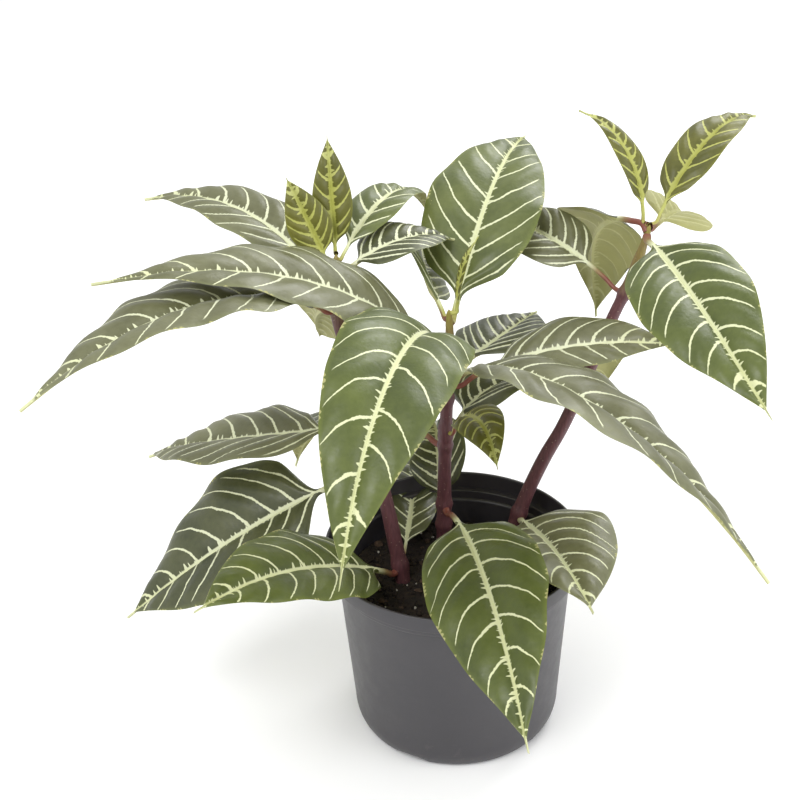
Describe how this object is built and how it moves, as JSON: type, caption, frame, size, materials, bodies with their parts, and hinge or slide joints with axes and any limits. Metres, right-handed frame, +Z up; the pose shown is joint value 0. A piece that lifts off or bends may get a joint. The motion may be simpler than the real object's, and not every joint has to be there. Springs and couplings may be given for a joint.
{
  "type": "potted zebra plant",
  "caption": "Potted zebra plant: leafy stems with long, pointed, dark leaves veined in cream, rooted in soil in a plain round nursery pot.",
  "frame": {"origin": "centre of the pot's flat underside, on the surface the pot stands on", "axes": "+Z up along the pot's axis, +X to the plant's right seen from its front, -Y to its front"},
  "size_m": [0.3798, 0.3224, 0.3493],
  "materials": {
    "pot": "satin moulded polypropylene",
    "soil": "moist peat-based potting soil",
    "stem": "smooth maroon-brown semi-woody stem",
    "leaf": "waxy dark green leaf with cream veins",
    "young_leaf": "soft olive young leaf with yellow-green veins"
  },
  "bodies": {
    "root": {"pot": "pot", "soil": "soil", "centre_stem": "stem", "left_stem": "stem", "right_stem": "stem", "centre_top_leaf_young": "young_leaf", "centre_top_leaf_back": "leaf", "centre_top_leaf_large": "leaf", "centre_leaf_left_long": "leaf", "centre_leaf_front_left": "leaf", "centre_leaf_back_right": "leaf", "centre_leaf_front_right_long": "leaf", "centre_leaf_right": "leaf", "centre_leaf_back": "leaf", "centre_lower_leaf_olive": "young_leaf", "centre_lower_leaf_right": "leaf", "centre_lower_leaf_back": "leaf", "centre_base_leaf_front": "leaf", "centre_base_leaf_upright": "leaf", "left_top_leaf_upright": "young_leaf", "left_top_leaf_young": "young_leaf", "left_leaf_curled": "leaf", "left_leaf_right": "leaf", "left_leaf_back": "leaf", "left_leaf_front_long": "leaf", "left_leaf_under": "leaf", "left_lower_leaf": "leaf", "left_lower_leaf_large": "leaf", "left_base_leaf_upright": "leaf", "left_base_leaf_over_rim": "leaf", "right_top_leaf_narrow": "young_leaf", "right_top_leaf_pointed": "young_leaf", "right_leaf_hanging": "leaf", "right_leaf_back_pale": "leaf", "right_leaf_front_large": "leaf", "right_leaf_left": "leaf", "right_leaf_back": "leaf", "right_base_leaf_front": "leaf"}
  },
  "joints": []
}
